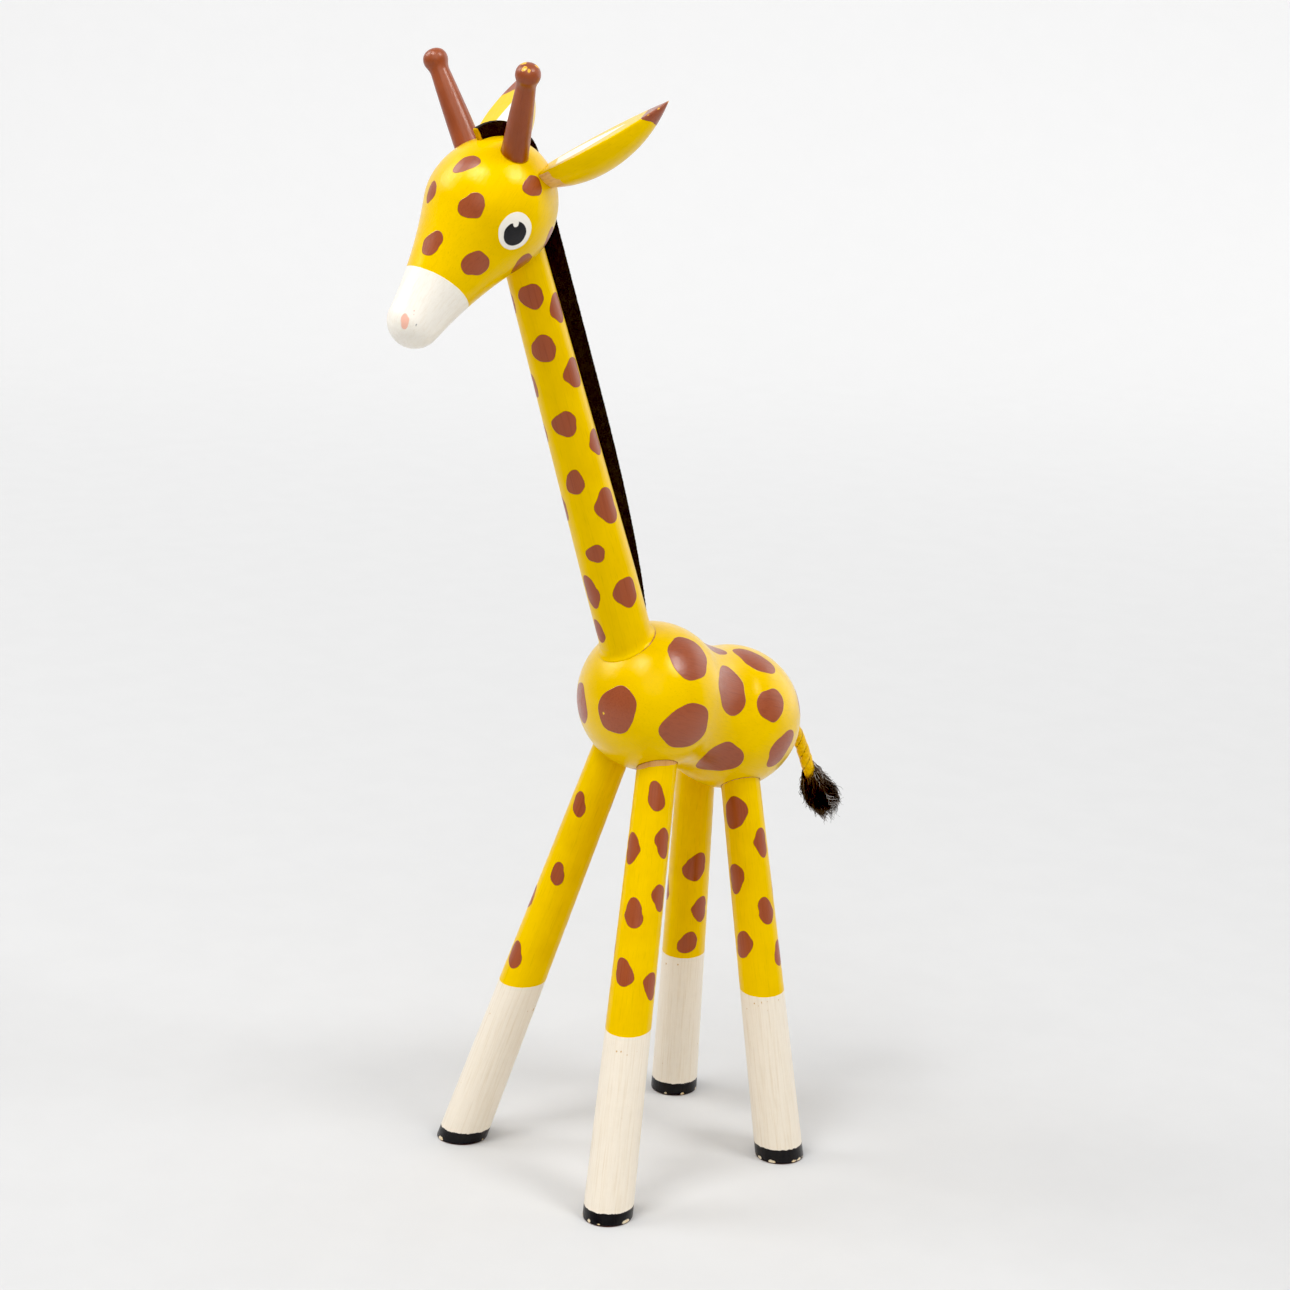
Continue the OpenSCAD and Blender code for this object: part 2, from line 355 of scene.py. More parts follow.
def blob(p, place, radius, s, angle, size, long=0.0, turn=0, point=0.0, aim=0, wobble=0.02):
    """Signed distance in mm, below 0 inside, to one hand-painted spot on a turned piece.
    long and point stretch it towards turn and aim, in degrees from the axis, and wobble roughens it."""
    a = radians(angle)
    s0 = np.array([s - 0.3, s, s + 0.3], float)
    r = radius(s0)
    out = cos(a) * place.front + sin(a) * place.side
    c = place.origin + s * place.axis + r[1] * out
    ts = unit(place.axis + out * (r[2] - r[0]) / 0.6)
    tp = -sin(a) * place.front + cos(a) * place.side
    n = np.cross(ts, tp)
    n = n if n @ out > 0 else -n
    q = p - c
    u, v, w = q @ ts, q @ tp, q @ n
    th = np.arctan2(v, u)
    wide, thin, across = 1 + long, 1 - long, th - radians(turn)
    oval = wide * thin / np.sqrt((thin * np.cos(across)) ** 2 + (wide * np.sin(across)) ** 2)
    rho = size * 1.03 * oval * (1 + point * np.cos(3 * (th - radians(aim)))
                                + wobble * np.cos(5 * th + s) + wobble * 0.7 * np.sin(7 * th + angle))
    d = np.hypot(u, v)
    return np.where(w > -max(0.75 * r[1], 3.0), d - rho, 30.0)


def nearest(distances):
    return np.min(np.stack(distances), 0)


USUAL = (0.25, 0, 0.08, 0)
# each row is (along, angle, size) of a spot, then its stretch, turn, point and aim where they aren't USUAL
TORSO_SPOTS = [
    (-4, 46, 7.5, 0.07, -75, 0.02, -30), (29.5, 25.5, 6.1, 0.24, 50, 0.08, 10),
    (15.5, 62, 7.2, 0.12, 78, 0.05, 52), (-20.5, 123, 7.1, 0.09, 73, 0.03, 30),
    (31.5, 68, 5.3, 0.05, -50, 0.05, -54), (-1.5, 102, 8.0, 0.07, -32, 0.04, 35),
    (41, 101, 5.8, 0.2, -72, 0.1, -49), (21.5, 127, 6.9, 0.1, -54, 0.07, -14), (13, 13, 5.6, 0.25, 0, 0.06),
    (50, 48, 4.6, 0.2, 70, 0.06), (-20.5, -136, 6.0, 0.08, -70, 0.04, 20), (1, -38, 6.4, 0.1, 60, 0.05, 40),
    (-2, -84, 7.6, 0.08, 30, 0.04, -35), (17, -55, 6.6, 0.12, -70, 0.05, 10),
    (33, -28, 5.6, 0.15, -40, 0.06, 60), (31, -82, 6.2, 0.1, 60, 0.05, 20), (15, -108, 6.4, 0.15, 40, 0.06),
    (45, -60, 5.2, 0.1, 20, 0.05, 40), (42, -122, 5.6, 0.15, 70, 0.05, -30),
    (2, -140, 5.8, 0.1, 0, 0.05, 20), (3, 168, 5.0, 0.1, 80, 0.05, 50), (50, -172, 4.8, 0.15, 80, 0.05),
]
HEAD_SPOTS = [
    (-3.2, 18, 3.4, 0.24, -40, 0.07, -17), (-8.3, 81, 3.3, 0.1, -31, 0.08, -36),
    (7.7, -9, 2.9, 0.14, -17, 0.08, -39), (7.3, 44, 3.8, 0.1, -32, 0.08, -56),
    (21.2, 18.5, 3.5, 0.17, -25, 0.06, 30), (19.5, 83, 3.9, 0.08, -45, 0.05, -29),
    (9.5, 136, 4.0, 0.15, 60, 0.06, 21), (-2, 137, 3.0, 0.15, 40, 0.08, 20),
    (-12, 168, 3.2, 0.15, 60, 0.08, 40), (-4, -42, 3.0, 0.2, 40, 0.08, 20),
    (-9, -82, 3.0, 0.12, 30, 0.08, 30), (6, -48, 3.2, 0.14, 30, 0.1, 50),
    (19.5, -50, 2.8, 0.2, 30, 0.08, -20), (19, -92, 3.4, 0.1, 40, 0.06, 20),
    (9, -138, 3.8, 0.15, -60, 0.06, -20), (-5, -122, 3.2, 0.15, -40, 0.08, 20),
    (18, 166, 3.0, 0.15, 30, 0.08, 10),
]
NECK_SPOTS = [
    (141.5, 50, 3.8, 0.04, -25, 0.06, 39), (135, 116, 3.9, 0.2, 0, 0.08, 30),
    (124.5, 46, 4.0, 0.08, 11, 0.06, 19), (114, 108, 4.1, 0.14, 0, 0.1, 36),
    (99.5, 49, 3.9, 0.03, 12, 0.08, 35), (90, 118, 3.6, 0.2, -6, 0.08, 24),
    (80, 37, 3.5, 0.17, 15, 0.07, 4), (69.5, 97, 4.9, 0.22, -4, 0.1, 33),
    (55.5, 42, 3.0, 0.04, 66, 0.07, 33), (42, 5, 4.4, 0.3, -4, 0.06, -23),
    (40, 86, 4.5, 0.11, -6, 0.06, 41), (27.5, -6, 3.4, 0.2, 0, 0.06), (112, -22, 3.2, 0.2, 0, 0.06, 20),
    (139, -35, 3.4, 0.1, 20, 0.06, 20), (130, -98, 3.8, 0.12, 10, 0.06, 40),
    (118, -62, 3.2, 0.1, 0, 0.08, 10), (103, -110, 4.0, 0.15, 0, 0.08, 30), (96, -40, 3.8, 0.1, 20, 0.06),
    (84, -84, 3.8, 0.12, -10, 0.08, 30), (70, -30, 3.8, 0.15, 10, 0.06, 20),
    (64, -118, 4.2, 0.2, 0, 0.08, 10), (53, -70, 4.0, 0.08, 20, 0.06, 40),
    (38, -108, 4.4, 0.15, 0, 0.08, 30), (36, -48, 3.4, 0.1, 10, 0.06),
]
LEG_SPOTS = {
    "leg_front_left": [
        (134, 61, 3.7, 0.3, -14, 0.08, -8), (120, 96, 3.8, 0.28, -10, 0.1, 40),
        (117, 3, 4.0, 0.26, 0, 0.08, -28), (102.5, 104, 3.6, 0.22, -16, 0.1, 38),
        (96.5, 33, 3.9, 0.24, -8, 0.08, 5), (77.5, 25, 3.8, 0.2, -18, 0.08, -18),
        (74.5, 105, 3.6, 0.22, -8, 0.1, 44), (136, -60, 3.6, 0.25, 10), (110, -70, 3.8, 0.25, 5, 0.08, 10),
        (86, -50, 3.6, 0.2, -10), (125, 165, 3.8), (92, 170, 3.8, 0.22, 10),
        (70, -130, 3.6, 0.2, 0, 0.08, 10), (103, -140, 3.6)],
    "leg_front_right": [
        (125, 14, 3.3, 0.27, -20, 0.06, -10), (100.5, 31, 3.1, 0.27, -13, 0.06, -10),
        (68.5, -1, 3.8, 0.22, -14, 0.06, -14), (88, -38, 3.4, 0.25, 10), (118, -70, 3.6),
        (76, -95, 3.6, 0.22, -10), (104, -120, 3.6, 0.25, 0, 0.08, 10), (132, -130, 3.4, 0.2),
        (128, 150, 3.6), (84, 160, 3.8, 0.25, 10), (108, -172, 3.4, 0.22), (70, -152, 3.4, 0.2)],
    "leg_rear_left": [
        (119, 27, 4.6, 0.18, 15, 0.05, -30), (108, 99, 3.8, 0.3, -4, 0.1, 35),
        (97, 8, 4.0, 0.26, 9, 0.08, -45), (85, 90, 3.8, 0.24, -12, 0.06, -17),
        (74.5, 12, 3.9, 0.2, 18, 0.06, -25), (69.5, 124, 3.6, 0.2), (110, -60, 3.8),
        (84, -62, 3.6, 0.2, 10), (112, 170, 3.8), (92, 158, 3.6, 0.22), (98, -135, 3.6, 0.25, -10),
        (70, -125, 3.6, 0.2)],
    "leg_rear_right": [
        (92, 69, 4.5, 0.18, 17, 0.07, 22), (75.5, 93, 3.9, 0.24, -4, 0.1, 35),
        (62.8, 62, 3.7, 0.16, 25, 0.07, 5), (116, -62, 3.8), (98, -90, 3.8), (80, -36, 3.6, 0.22),
        (116, -118, 3.8), (72, -96, 3.6, 0.22), (94, -150, 3.8), (112, 158, 3.6, 0.22),
        (76, 172, 3.6, 0.22)],
}


def spots(p, place, radius, rows):
    return nearest([blob(p, place, radius, *row, *USUAL[len(row) - 3:]) for row in rows])


# ---- materials

class Shader:
    """Builds a material's nodes."""

    def __init__(self, name):
        self.material = bpy.data.materials.new(name)
        self.material.use_nodes = True
        self.tree = self.material.node_tree
        self.tree.nodes.clear()

    def node(self, kind, settings=None, inputs=None, out=0):
        n = self.tree.nodes.new(kind)
        for k, v in (settings or {}).items():
            setattr(n, k, v)
        for k, v in (inputs or {}).items():
            if isinstance(v, bpy.types.NodeSocket):
                self.tree.links.new(v, n.inputs[k])
            else:
                n.inputs[k].default_value = v
        return n.outputs[out]

    def math(self, op, a, b=0.0):
        return self.node("ShaderNodeMath", {"operation": op}, {0: a, 1: b})

    def add(self, a, b):
        return self.math("ADD", a, b)

    def times(self, a, b):
        return self.math("MULTIPLY", a, b)

    def bump(self, height, strength=1.0):
        return self.node("ShaderNodeBump", None, {"Strength": strength, "Distance": MM, "Height": height})

    def attribute(self, name, out=2):
        return self.node("ShaderNodeAttribute", {"attribute_name": name}, None, out)

    def scaled(self, vector, scale):
        return self.node("ShaderNodeMapping", {"vector_type": "POINT"}, {"Vector": vector, "Scale": scale})

    def noise(self, vector, scale, detail=2.0, rough=0.5):
        return self.node("ShaderNodeTexNoise", {"noise_dimensions": "3D"},
                         {"Vector": vector, "Scale": scale, "Detail": detail, "Roughness": rough})

    def ramp(self, value, low, high, to_low=0.0, to_high=1.0):
        limits = {"From Min": low, "From Max": high, "To Min": to_low, "To Max": to_high}
        limits["Value"] = value
        return self.node("ShaderNodeMapRange", {"interpolation_type": "SMOOTHSTEP"}, limits)

    def mix(self, factor, a, b, blend="MIX"):
        settings = {"data_type": "RGBA", "blend_type": blend}
        return self.node("ShaderNodeMix", settings, {0: factor, 6: a, 7: b}, 2)

    def finish(self, **surface):
        shader = self.node("ShaderNodeBsdfPrincipled", None, surface)
        out = self.tree.nodes.new("ShaderNodeOutputMaterial")
        self.tree.links.new(shader, out.inputs["Surface"])
        return self.material


YELLOW = srgb(240, 197, 1)
YELLOW_DEEP = srgb(230, 185, 1)
BROWN = srgb(158, 78, 42)
BROWN_DEEP = srgb(142, 66, 36)
WHITE = srgb(246, 240, 228)
SOCK = srgb(240, 229, 211)
BLACK = srgb(12, 10, 11)
PINK = srgb(247, 190, 168)
BARE = srgb(238, 188, 112)
GLUE = srgb(176, 106, 30)
YELLOW_GLOSS = (1.0, 0.78, 0.02, 1.0)


SPOT_LAYER = ("spot", BROWN, BROWN_DEEP, 0.12, 0.05)


def darker(colour, amount):
    return tuple(c * amount for c in colour[:3]) + (1,)


def painted(name, layers, coat, base=YELLOW, deep=YELLOW_DEEP, rough=0.34, grain=1.0, tint=YELLOW_GLOSS):
    """Brushed gloss paint over turned wood.
    Each layer is (attribute, colour, deep colour, edge wobble in mm, paint height in mm)."""
    t = Shader(name)
    p = t.attribute("grain_mm", 1)
    broad = t.noise(p, 0.07, 2, 0.55)
    mid = t.noise(p, 0.55, 3, 0.6)
    fine = t.noise(p, 3.0, 2, 0.6)
    streak = t.noise(t.scaled(p, (1.6, 1.6, 0.05)), 1.0, 3, 0.65)
    line = t.noise(t.scaled(p, (3.6, 3.6, 0.16)), 1.0, 2, 0.5)
    rings = t.noise(t.scaled(p, (0.05, 0.05, 2.2)), 1.0, 2, 0.6)
    edge = t.noise(p, 0.8, 3, 0.6)
    edge_fine = t.noise(p, 3.5, 2, 0.5)

    colour = t.mix(t.ramp(broad, 0.36, 0.72, 0.0, 0.6), base, deep)
    colour = t.mix(t.times(t.ramp(streak, 0.5, 0.8), 0.28 * grain), colour, darker(deep, 0.78))
    colour = t.mix(t.times(t.ramp(line, 0.6, 0.72), 0.24 * grain), colour, darker(deep, 0.6))
    height = t.add(t.times(streak, 0.055 * grain), t.times(line, 0.036 * grain))
    specular = tint
    covered = 0.0
    for attribute, top, low, wobble, thick in layers:
        d = t.add(t.times(t.math("SUBTRACT", edge, 0.5), wobble * 2.2),
                  t.times(t.math("SUBTRACT", edge_fine, 0.5), wobble * 0.7))
        d = t.add(t.attribute(attribute), d)
        inside = t.ramp(d, -0.09, 0.09, 1.0, 0.0)
        colour = t.mix(inside, colour, t.mix(t.ramp(streak, 0.42, 0.8), top, low))
        covered = t.math("MAXIMUM", covered, inside)
        lip = t.ramp(t.math("ABSOLUTE", t.add(d, 0.28)), 0.0, 0.3, 0.35, 0.0)
        height = t.add(height, t.times(t.add(inside, lip), thick))
        specular = t.mix(covered, tint, (1.0, 1.0, 1.0, 1.0))

    shade = t.ramp(mid, 0.25, 0.75, 0.988, 1.01)
    shade = t.node("ShaderNodeCombineColor", None, {0: shade, 1: shade, 2: shade})
    for texture, amount in ((rings, 0.002), (mid, 0.006), (fine, 0.007)):
        height = t.add(height, t.times(texture, amount))
    normal = t.bump(height)
    return t.finish(**{
        "Base Color": t.mix(1.0, colour, shade, "MULTIPLY"), "Normal": normal, "Coat Normal": normal,
        "Roughness": t.ramp(mid, 0.3, 0.75, rough - 0.05, rough + 0.1), "IOR": 1.5,
        "Specular Tint": specular, "Coat Weight": coat, "Coat Roughness": 0.21})


def felt_material():
    t = Shader("black_felt")
    p = t.attribute("grain_mm", 1)
    big = t.noise(p, 0.35, 3, 0.6)
    fuzz = t.noise(p, 4.0, 4, 0.75)
    hair = t.noise(t.scaled(p, (5, 1.2, 1.2)), 3.0, 3, 0.7)
    colour = t.mix(t.ramp(fuzz, 0.3, 0.75), srgb(24, 22, 21), srgb(66, 58, 51))
    colour = t.mix(t.times(t.ramp(big, 0.45, 0.7), 0.35), colour, srgb(66, 56, 46))
    colour = t.mix(t.ramp(t.attribute("paint"), -0.12, 0.12, 1.0, 0.0), colour, srgb(214, 164, 10))
    normal = t.bump(t.add(t.times(fuzz, 0.28), t.times(hair, 0.16)), 0.9)
    return t.finish(**{"Base Color": colour, "Roughness": 0.95, "Normal": normal, "Sheen Weight": 0.08,
                       "Sheen Roughness": 0.4, "Specular IOR Level": 0.15})


def cord_material():
    t = Shader("painted_cord")
    p = t.attribute("grain_mm", 1)
    n = t.noise(p, 1.4, 4, 0.7)
    fibre = t.noise(t.scaled(p, (5, 5, 0.7)), 1.0, 3, 0.6)
    # darker brown in the grooves between the strands, patchy with the noise
    groove_darkening = t.ramp(t.attribute("groove_darkening"), 0.0, 0.35, 0.9, 0.0)
    colour = t.mix(t.ramp(n, 0.35, 0.7), srgb(248, 202, 16), srgb(222, 166, 12))
    colour = t.mix(t.times(t.ramp(fibre, 0.58, 0.78), 0.35), colour, srgb(150, 98, 14))
    colour = t.mix(t.times(groove_darkening, t.ramp(n, 0.35, 0.6)), colour, srgb(112, 66, 14))
    normal = t.bump(t.add(t.times(n, 0.16), t.times(fibre, 0.1)))
    return t.finish(**{"Base Color": colour, "Roughness": 0.45, "Normal": normal, "IOR": 1.45})


def fur_material():
    t = Shader("dark_fur")
    # tone is the hairs' own random tone, with painted shade in the tuft's middle and painted highlight at the
    # top of its back, both set in make_tuft
    tone = t.attribute("tone")
    colour = t.mix(t.ramp(tone, 0.1, 0.75), srgb(24, 18, 14), srgb(122, 104, 88))
    colour = t.mix(t.ramp(tone, 0.86, 0.9), colour, srgb(205, 200, 196))
    return t.finish(**{"Base Color": colour, "Roughness": 0.5, "Specular IOR Level": 0.35})


def ride(obj, material, slot, *nodes):
    obj.data.materials.clear()
    obj.data.materials.append(material)
    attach(obj, "root")
    if nodes:
        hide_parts(*nodes)
    return obj


# ---- camera, then the cord

CAMERA_TURN, CAMERA_TILT, CAMERA_ROLL = (radians(a) for a in (52.756, 14.81, 1.618))
CAMERA_AT = (0.7326, -0.5385, 0.4175)


def make_camera():
    """Places the camera, and returns its right, up and back directions."""
    a, p, roll = CAMERA_TURN, CAMERA_TILT, CAMERA_ROLL
    ahead = np.array([-sin(a) * cos(p), cos(a) * cos(p), -sin(p)])
    right = np.array([cos(a), sin(a), 0.0])
    up = np.cross(right, ahead)
    r = cos(roll) * right + sin(roll) * up
    u = -sin(roll) * right + cos(roll) * up
    data = bpy.data.cameras.new("camera")
    data.sensor_width = 36.0
    data.lens = 82.87
    data.clip_start, data.clip_end = 0.05, 50.0
    cam = bpy.data.objects.new("camera", data)
    bpy.context.scene.collection.objects.link(cam)
    m = Matrix.Identity(4)
    for i in range(3):
        m[i][0], m[i][1], m[i][2] = r[i], u[i], -ahead[i]
    m.translation = CAMERA_AT
    cam.matrix_world = m
    bpy.context.scene.camera = cam
    return r, u, -ahead


cam_right, cam_up, cam_back = make_camera()


def smooth_route(points, step):
    """Even points along a smooth curve through the route's points."""
    p = np.asarray(points, float)
    q = np.vstack([2 * p[0] - p[1], p, 2 * p[-1] - p[-2]])
    line = []
    for i in range(1, len(q) - 2):
        for t in np.linspace(0, 1, 24, endpoint=False):
            a, b, c, d = q[i - 1], q[i], q[i + 1], q[i + 2]
            square, cube = 2 * a - 5 * b + 4 * c - d, 3 * b - a - 3 * c + d
            line.append(0.5 * (2 * b + (c - a) * t + square * t ** 2 + cube * t ** 3))
    line = np.array(line + [p[-1]])
    d = distance_along(line)
    t = np.linspace(0, d[-1], int(d[-1] / step) + 1)
    return np.stack([np.interp(t, d, line[:, k]) for k in range(3)], -1)


def tube(line, radius, around):
    """Rings of a tube along line. radius is a function of angle and distance along."""
    d = distance_along(line)
    tang = np.gradient(line, axis=0)
    tang /= norm(tang, axis=1)[:, None]
    side = np.array([1.0, 0, 0])
    other = np.cross(tang, side)
    angle = round_angles(around)
    out = np.cos(angle)[None, :, None] * side + np.sin(angle)[None, :, None] * other[:, None, :]
    return line[:, None, :] + radius(angle[None, :], d[:, None])[..., None] * out, angle, d


# the cord from just inside its hole to its end in the tuft
tail_line = smooth_route(TAIL, 0.3)
tail_line = tail_line[norm(tail_line - np.array(TAIL[1]), axis=1).argmin() - 4:]


def make_tail_cord():
    pitch = 9.0

    def lay(angle, along):
        """Shape across one strand, 1 at its crest and 0 in the groove."""
        return np.abs(np.cos(1.5 * (angle - 2 * pi * along / pitch / 1.5)))

    def radius(angle, along):
        lump = 0.05 * np.sin(along * 1.7 + 2 * angle) + 0.04 * np.sin(along * 3.1 - 3 * angle)
        return 1.98 + 0.22 * lay(angle, along) ** 0.7 + lump

    rings, angle, d = tube(tail_line, radius, 60)
    verts, faces = rings_to_mesh(rings, True, tail_line[0], tail_line[-1])
    obj = build("tail_cord_visual", verts, outward(verts, faces))
    angle, along = np.tile(angle, len(d)), np.repeat(d, len(angle))
    put(obj, "groove_darkening", np.r_[lay(angle, along), 1.0, 1.0])
    straight = np.stack([TAIL_D / 2 * np.cos(angle), TAIL_D / 2 * np.sin(angle), along], -1)
    put(obj, "grain_mm", np.vstack([straight, [0, 0, 0], [0, 0, d[-1]]]))
    return ride(obj, cord_material(), "painted_cord", "tail_cord")


tail_cord = make_tail_cord()


# how far the fur sags back at its end, the lowest that a hair reaches, and the number of hairs
TUFT_LEAN = np.array([0, 2.3, 0.3])
TUFT_FLOOR = 100.2
HAIRS = 2000


def make_tuft():
    """A dark core under many fine hairs that start round the cord's end and lie down it."""
    rng = random.Random(7)
    axis = unit(TUFT_END - TUFT_TOP)
    place = Place(TUFT_TOP, axis, [1, 0, 0])
    t = np.linspace(0, 1, 40)
    core = np.stack([3.2 + 14.3 * t, 2.1 + 2.6 * np.sin(np.pi * np.clip(t * 1.15, 0, 1)) ** 0.9], -1)
    core[:, 1] *= np.clip((1 - t) * 6, 0, 1) ** 0.5
    core = np.vstack([[3.2, 0], core[:-1], [17.5, 0]])
    core[1, 1] = 1.6
    obj = lathe("tuft_core", place, core, 64)
    pts = points_of(obj)
    s, angle, r = place.local(pts)
    clump = lumps(np.stack([np.cos(angle) * 1.6, np.sin(angle) * 1.6, s * 0.15], -1))
    grow = 1 + 0.22 * clump * np.clip(s / 6, 0, 1)
    lean = (np.clip((s - 4) / 12.0, 0, 1) ** 1.3)[:, None]
    set_points(obj, place.point(s, angle, r * grow) + TUFT_LEAN * lean)
    put(obj, "tone", np.full(len(pts), 0.12))
    verts, faces, tone = [], [], []
    steps, sides = 8, 3
    around = round_angles(sides)[:, None]

    def angle_of(way):
        return atan2(way @ place.side, way @ place.front)
    back_angle = angle_of(np.array([-0.2, 0.9, 0.5]))
    side_angle = angle_of(np.array([0.9, 0.1, 0.0]))
    for _ in range(HAIRS):
        start = rng.random() ** 1.3
        a0 = rng.uniform(0, 2 * pi)
        # the fur starts higher on the back of the cord than on the side where the paint runs down
        rear = 0.5 + 0.5 * cos(a0 - back_angle)
        s0 = 1.1 - 4.3 * rear + 12.6 * start
        r0 = 2.2 + 2.3 * sin(min(max(s0 + 1.4, 0) / 12.0, 1) * pi / 1.6)
        lock = round((a0 + 0.3 * sin(s0 * 0.6)) / (2 * pi / 11)) * (2 * pi / 11)
        length = rng.uniform(4.5, 8.5) * (1 - 0.2 * start)
        if rng.random() < 0.07:
            length += rng.uniform(1.0, 3.5)
        flare = rng.uniform(0.5, 1.5)
        # hair tone: random, with painted shade that darkens the hairs in the middle of the tuft and painted
        # highlight that lightens those at the top of its back; a narrow band on one side is near white
        if abs(a0 - side_angle - 0.3) < 0.14 and start > 0.45 and rng.random() < 0.3:
            shade = rng.uniform(0.9, 1.0)
        else:
            shaded_middle = sin(min(max(s0, 0) / 11.0, 1) * pi)
            shade = rng.random() * (0.95 - 0.45 * shaded_middle + 0.25 * rear * (start < 0.3))
        thick = rng.uniform(0.07, 0.16)
        bend = rng.uniform(-0.3, 0.3)
        wave, phase, size = rng.uniform(2.0, 6.0), rng.uniform(0, 6.28), rng.uniform(0.15, 0.6)
        stray = rng.uniform(0.8, 2.2) if rng.random() < 0.16 else 0.0
        line = []
        for j in range(steps):
            q = j / (steps - 1)
            s_ = s0 + length * q
            full = min(max(s_ / 13.0, 0.0), 1.0)
            r_ = (r0 + 1.9 * q * flare * (1 - 0.7 * full * q)) * (1 - 0.35 * max(s_ - 12.0, 0) / 8)
            r_ += size * q * sin(wave * q * 3 + phase) + stray * q * q
            a_ = a0 + (lock - a0) * 0.6 * q * q + bend * q + 0.2 * q * sin(wave * q * 2 + phase)
            line.append(place.point(s_, a_, r_) + TUFT_LEAN * min(max((s_ - 4) / 12.0, 0), 1) ** 1.3)
        line = np.array(line)
        line[:, 2] = np.maximum(line[:, 2], TUFT_FLOOR)
        tang = np.gradient(line, axis=0)
        tang /= norm(tang, axis=1)[:, None]
        ref = unit(np.cross(tang[0], [0.3, 0.5, 0.8]))
        count = len(verts)
        first = ref - (tang @ ref)[:, None] * tang
        first /= norm(first, axis=1)[:, None]
        second = np.cross(tang, first)
        out = np.cos(around) * first[:, None] + np.sin(around) * second[:, None]
        wide = thick * (1 - 0.75 * np.linspace(0, 1, steps) ** 2)
        points, quads = rings_to_mesh(line[:, None] + wide[:, None, None] * out)
        ends = [[sides - 1 - k for k in range(sides)], [len(points) - sides + k for k in range(sides)]]
        faces += [[count + i for i in face] for face in quads + ends]
        verts.extend(points)
        tone += [shade] * len(points)
    hair = build("tuft_hairs", verts, faces)
    put(hair, "tone", tone)
    material = fur_material()
    ride(obj, material, "dark_fur", "tail_tuft")
    ride(hair, material, "dark_fur", "tail_tuft")
    return obj, hair


tuft_core, tuft_hairs = make_tuft()


# ---- torso

def leg_axis(name):
    """A leg's frame and length, and its radius along it."""
    top, foot = (np.array(v, float) for v in LEGS[name])
    n = float(norm(top - foot))

    def radius(s):
        return FOOT_R - (FOOT_R - LEG_TOP_R) * np.asarray(s, float) / n
    return Place(foot, top - foot, [0, -1, 0], [1, 0, 0]), n, radius


def leg_cutter(name, grow):
    """A leg's peg end as a cutter, from below the torso to the end of its hole."""
    place, n, radius = leg_axis(name)
    low, high = 90.0, n - LEG_END_GAP + 1
    a, b = (place.origin + s * place.axis for s in (low, high))
    return peg_cutter(a, b, float(radius(low)) + grow, float(radius(high)) + grow)


def neck_cutter(grow, low, high):
    bends = [s for s in (low, NECK_TAPER, high) if s >= low]
    sides = [(s, float(neck_radius(s)) + grow) for s in bends]
    return lathe("cutter", neck_place, [(low, 0), *sides, (high, 0)], 96)


def make_torso():
    obj = lathe("torso_visual", torso_place, spread(torso_line, 0.55), 240)
    holes = [leg_cutter(n, 0.14) for n in LEGS]
    holes.append(neck_cutter(0.12, NECK_BOTTOM - 1, 60))
    inner, mouth = np.array(TAIL[0], float), np.array(TAIL[1], float)
    out = unit(mouth - inner)
    holes.append(peg_cutter(inner - out, mouth + 6 * out, 2.35, 2.35, 48))
    cut(obj, holes)
    keep_smooth(obj, turned_normal(torso_place, torso_radius, TORSO_ENDS))
    p = points_of(obj)
    put(obj, "grain_mm", torso_place.grain(p))
    put(obj, "spot", spots(p, torso_place, torso_radius, TORSO_SPOTS))
    put(obj, "chip", blob(p, torso_place, torso_radius, -21.3, 147, 0.42, wobble=0.1))
    material = painted("torso_paint", [SPOT_LAYER, ("chip", YELLOW, YELLOW, 0.1, -0.03)], coat=0.58)
    return ride(obj, material, "yellow_paint", "torso")


make_torso()


# ---- mane, whose outline is also its saw cut's

def mane_outline(gap=0.0):
    floor_y = NECK_R / cos(NECK_LEAN) - KERF - gap
    slant = np.array([-tan(NECK_LEAN), 1.0])
    neck_line = neck_place.origin[1:] + [floor_y, 0]
    end = np.array([18.2, 185.3])
    low = neck_line + slant * (end[1] - neck_line[1] - gap)
    floor_r = CROWN_FLOOR_R - gap
    t = np.linspace(radians(CREST_START), NECK_LEAN, 40)
    crest = CREST + CREST_R * np.stack([np.cos(t), np.sin(t)], -1)
    nape, lead = np.array([-2, 258.7]), np.array([13.8, 212])
    u = np.linspace(0, 1, 40)[:, None]
    down = nape * (1 - u) ** 2 + lead * 2 * u * (1 - u) + end * u ** 2
    v = np.radians(np.linspace(-10, 100, 40))
    crown = SKULL + floor_r * np.stack([np.cos(v), np.sin(v)], -1)
    high = np.array([SKULL[0] + floor_r * cos(radians(10)), 300])
    return np.vstack([crest, down, low[None], high[None], crown])


def sheet(name, outline, thick):
    """A flat strip standing in the plane x = 0."""
    n = len(outline)
    left = np.column_stack([np.full(n, -thick / 2), outline])
    right = np.column_stack([np.full(n, thick / 2), outline])
    faces = [list(range(n)), list(range(2 * n - 1, n - 1, -1))]
    faces += [[i, n + i, n + (i + 1) % n, (i + 1) % n] for i in range(n)]
    obj = build(name, np.vstack([left, right]), faces, smooth=False)
    bm = bmesh.new()
    bm.from_mesh(obj.data)
    bmesh.ops.triangulate(bm, faces=bm.faces[:])
    bmesh.ops.recalc_face_normals(bm, faces=bm.faces[:])
    bm.to_mesh(obj.data)
    bm.free()
    return obj


def mane_cutter():
    return sheet("cutter", mane_outline(0.08), FELT + 0.14)


